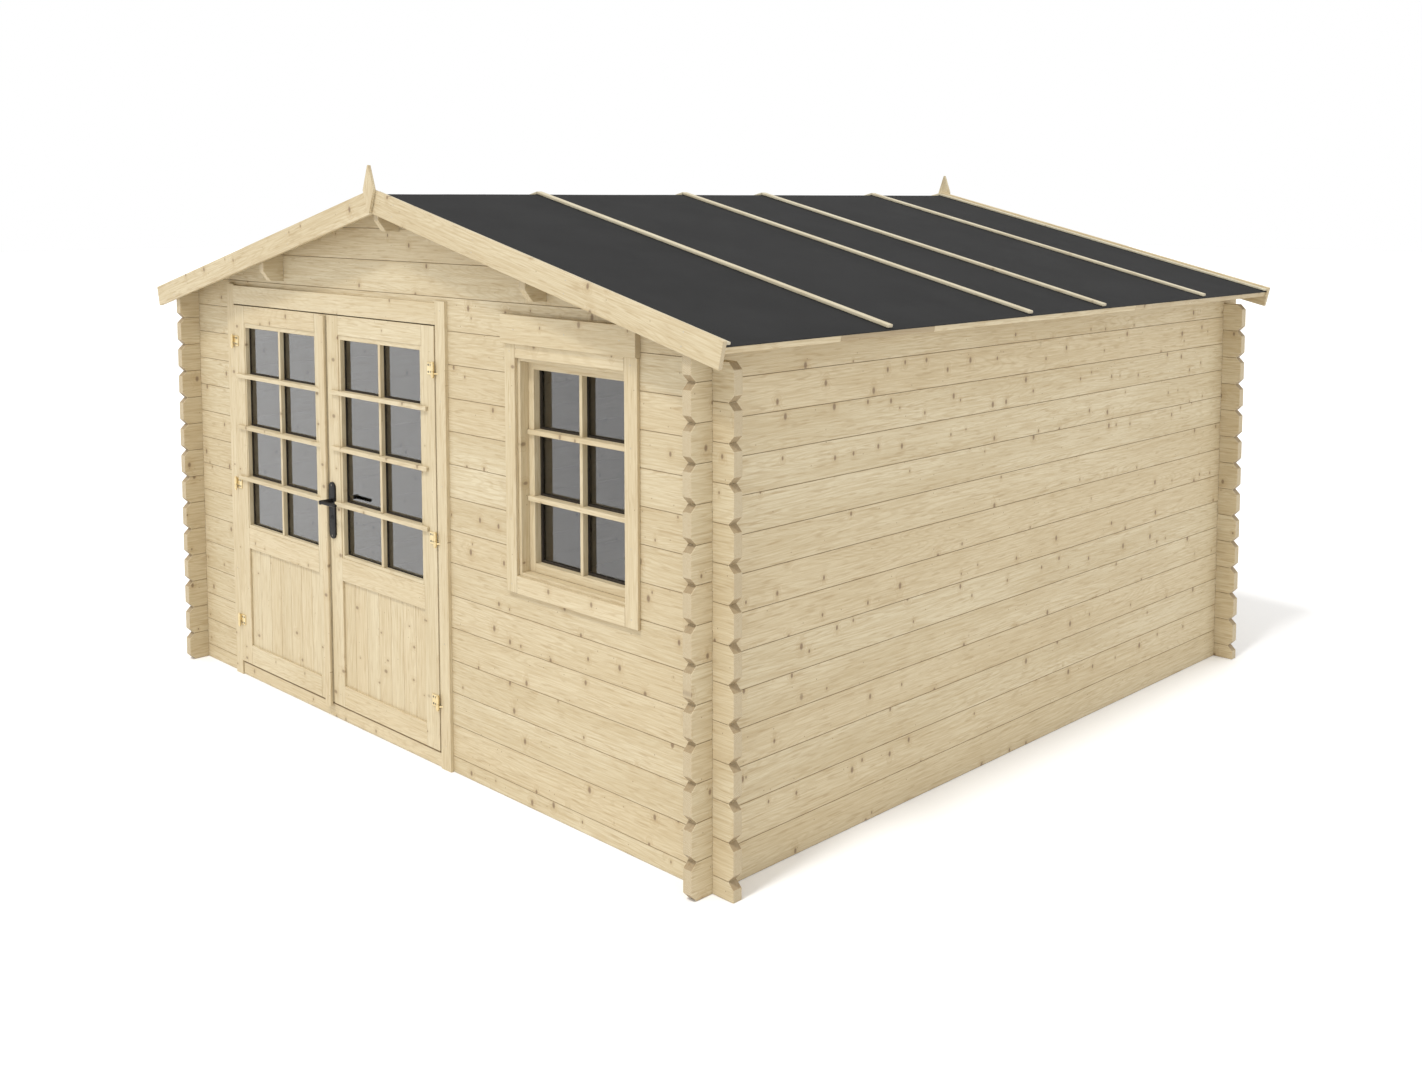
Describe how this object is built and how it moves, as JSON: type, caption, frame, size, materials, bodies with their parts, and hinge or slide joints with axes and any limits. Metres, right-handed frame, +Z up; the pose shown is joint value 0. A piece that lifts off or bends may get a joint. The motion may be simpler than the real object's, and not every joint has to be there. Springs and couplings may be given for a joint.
{
  "type": "garden shed",
  "caption": "Log-built garden shed with a low gabled felt roof, a half-glazed double door that opens outward and a small barred window.",
  "frame": {"origin": "centre of the footprint at ground level", "axes": "+Z up, -Y out of the front gable with the door, +X to the right seen from the front"},
  "size_m": [3.959, 3.8938, 2.434],
  "materials": {
    "logs": "planed",
    "trim": "planed",
    "deck": "planed",
    "battens": "sawn",
    "joinery": "planed",
    "felt": "matte mineral",
    "pane": "tinted",
    "hinge": "plated",
    "handle": "satin black"
  },
  "bodies": {
    "shed": {"left_wall": "logs", "right_wall": "logs", "back_wall": "logs", "back_gable": "logs", "front_left_wall": "logs", "front_low_wall": "logs", "front_mid_wall": "logs", "front_right_wall": "logs", "lintel_log": "logs", "front_gable": "logs", "purlins": "trim", "deck_left": "deck", "deck_right": "deck", "felt_left": "felt", "felt_right": "felt", "eave_laths": "trim", "roof_battens": "battens", "gable_slats": "battens", "bargeboards_front": "trim", "bargeboards_back": "trim", "finials": "trim", "door_casing": "trim", "door_frame": "trim", "door_sill": "trim", "frame_hinges": "hinge", "window_casing": "trim", "window_top_board": "trim", "window_frame": "trim", "window_sash": "joinery", "window_glass": "pane"},
    "left_leaf": {"left_leaf_frame": "joinery", "left_leaf_panel": "joinery", "left_leaf_glass": "pane", "meeting_strip": "joinery", "left_leaf_hinges": "hinge"},
    "right_leaf": {"right_leaf_frame": "joinery", "right_leaf_panel": "joinery", "right_leaf_glass": "pane", "right_leaf_hinges": "hinge", "handle_plates": "handle"},
    "lever": {"handle_lever": "handle"}
  },
  "joints": [
    {"name": "left_leaf_hinge", "type": "hinge", "parent": "shed", "child": "left_leaf", "pos_m": [-1.3845, -1.8425, 0.9], "axis": [0, 0, -1], "range_deg": [0, 110]},
    {"name": "right_leaf_hinge", "type": "hinge", "parent": "shed", "child": "right_leaf", "pos_m": [0.2785, -1.8425, 0.9], "axis": [0, 0, 1], "range_deg": [0, 110]},
    {"name": "lever_turn", "type": "hinge", "parent": "right_leaf", "child": "lever", "pos_m": [-0.51, -1.8125, 0.984], "axis": [0, 1, 0], "range_deg": [0, 40], "stiffness_Nm_per_rad": 1.5, "springref_deg": -20.05}
  ]
}
